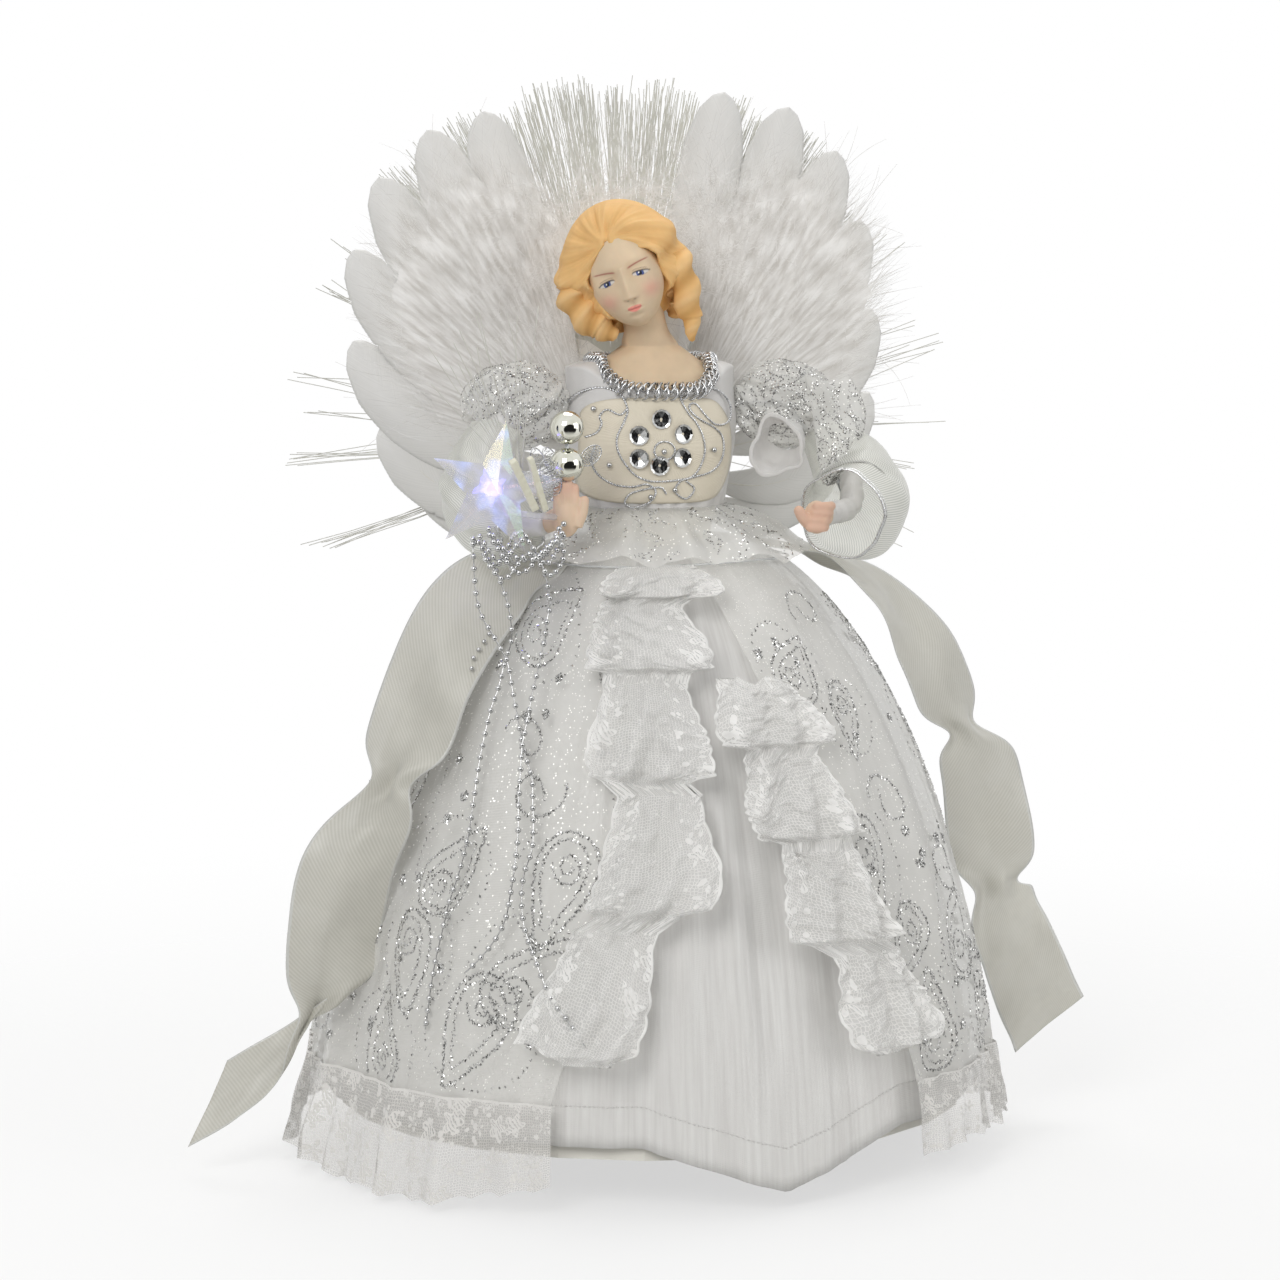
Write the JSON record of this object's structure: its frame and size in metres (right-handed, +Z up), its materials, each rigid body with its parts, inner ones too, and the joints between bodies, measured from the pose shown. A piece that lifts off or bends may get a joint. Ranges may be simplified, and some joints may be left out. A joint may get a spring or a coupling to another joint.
{
  "type": "angel tree topper",
  "caption": "Half-doll angel in a hooped lace gown, with feather wings, a fibre-optic halo, posable arms, a lit star posy and bead garlands, on a bell that fits over a tree's tip.",
  "frame": {"origin": "on the bell's axis, level with the lowest point of the lace hem, where the axis of the tree's tip enters", "axes": "+Z up, along the tree's tip; the angel faces -Y; +X is at its left hand"},
  "size_m": [0.3506, 0.2553, 0.405],
  "materials": {
    "moulding": "moulded off-white, as it came from the tool",
    "wire": "bare drawn wire and plated screws",
    "lamp": "violet-blue light-emitting diode, lit",
    "black": "moulded black socket",
    "silver_metal": "bright turned sleeve",
    "fibre": "clear optical fibre strands, lit only at the cut ends",
    "foam": "pressed white wadding plug",
    "bisque": "unglazed bisque, painted skin and golden hair",
    "satin": "ivory-white satin with a soft sheen",
    "silver_cord": "silver bullion and twisted silver cord",
    "organza": "sheer white organza",
    "glitter_organza": "sheer white organza printed with silver glitter scrolls",
    "lace": "white floral lace with a scalloped edge",
    "ribbon": "champagne-grey ribbed organza ribbon with wired silver edges",
    "feather": "trimmed white feather vanes",
    "card": "white backing card",
    "down": "fluffy white marabou down",
    "silver_beads": "mirror-bright silver plating on plastic beads and balls",
    "clear": "clear faceted plastic with an iridescent coat",
    "ivory": "ivory-white ribbed plastic"
  },
  "bodies": {
    "figure": {"skirt_frame": "moulding", "lamp_housing": "moulding", "lamp_cover": "moulding", "lamp_screw_1": "wire", "lamp_screw_2": "wire", "shoulder_wire": "wire", "halo_lamp": "lamp", "power_inlet": "black", "fibre_ferrule": "silver_metal", "fibre_bundle": "fibre", "fibre_halo": "fibre", "torso_core": "foam", "half_doll": "bisque", "bodice": "satin", "collar_gimp": "silver_cord", "scroll_cord": "silver_cord", "underskirt": "organza", "overskirt": "glitter_organza", "waist_frill": "glitter_organza", "lace_hem": "lace", "lace_front_right": "lace", "lace_front_left": "lace", "sash_right": "ribbon", "sash_left": "ribbon", "right_feather_1": "feather", "right_feather_2": "feather", "right_feather_3": "feather", "right_feather_4": "feather", "right_feather_5": "feather", "right_feather_6": "feather", "left_feather_1": "feather", "left_feather_2": "feather", "left_feather_3": "feather", "left_feather_4": "feather", "left_feather_5": "feather", "left_feather_6": "feather", "wing_card": "card", "right_down_pad": "down", "left_down_pad": "down"},
    "right_arm": {"right_arm_wire": "wire", "ball_pick": "wire", "star_stem": "wire", "right_hand": "bisque", "right_sleeve_puff": "glitter_organza", "right_cuff": "organza", "silver_ball_lower": "silver_beads", "silver_ball_upper": "silver_beads", "bead_garland_1": "silver_beads", "bead_garland_2": "silver_beads", "bead_garland_3": "silver_beads", "bead_swag": "silver_beads", "star_lens": "clear", "star_lamp": "lamp", "ivory_stem_1": "ivory", "ivory_stem_2": "ivory"},
    "left_arm": {"left_arm_wire": "wire", "left_hand": "bisque", "left_sleeve_puff": "glitter_organza", "left_undersleeve": "satin", "left_cuff": "organza"}
  },
  "joints": [
    {"name": "right_shoulder", "type": "hinge", "parent": "figure", "child": "right_arm", "pos_m": [-0.052, 0, 0.281], "axis": [0, 1, 0], "range_deg": [0, 10]},
    {"name": "left_shoulder", "type": "hinge", "parent": "figure", "child": "left_arm", "pos_m": [0.052, 0, 0.281], "axis": [0, -1, 0], "range_deg": [0, 10]}
  ]
}
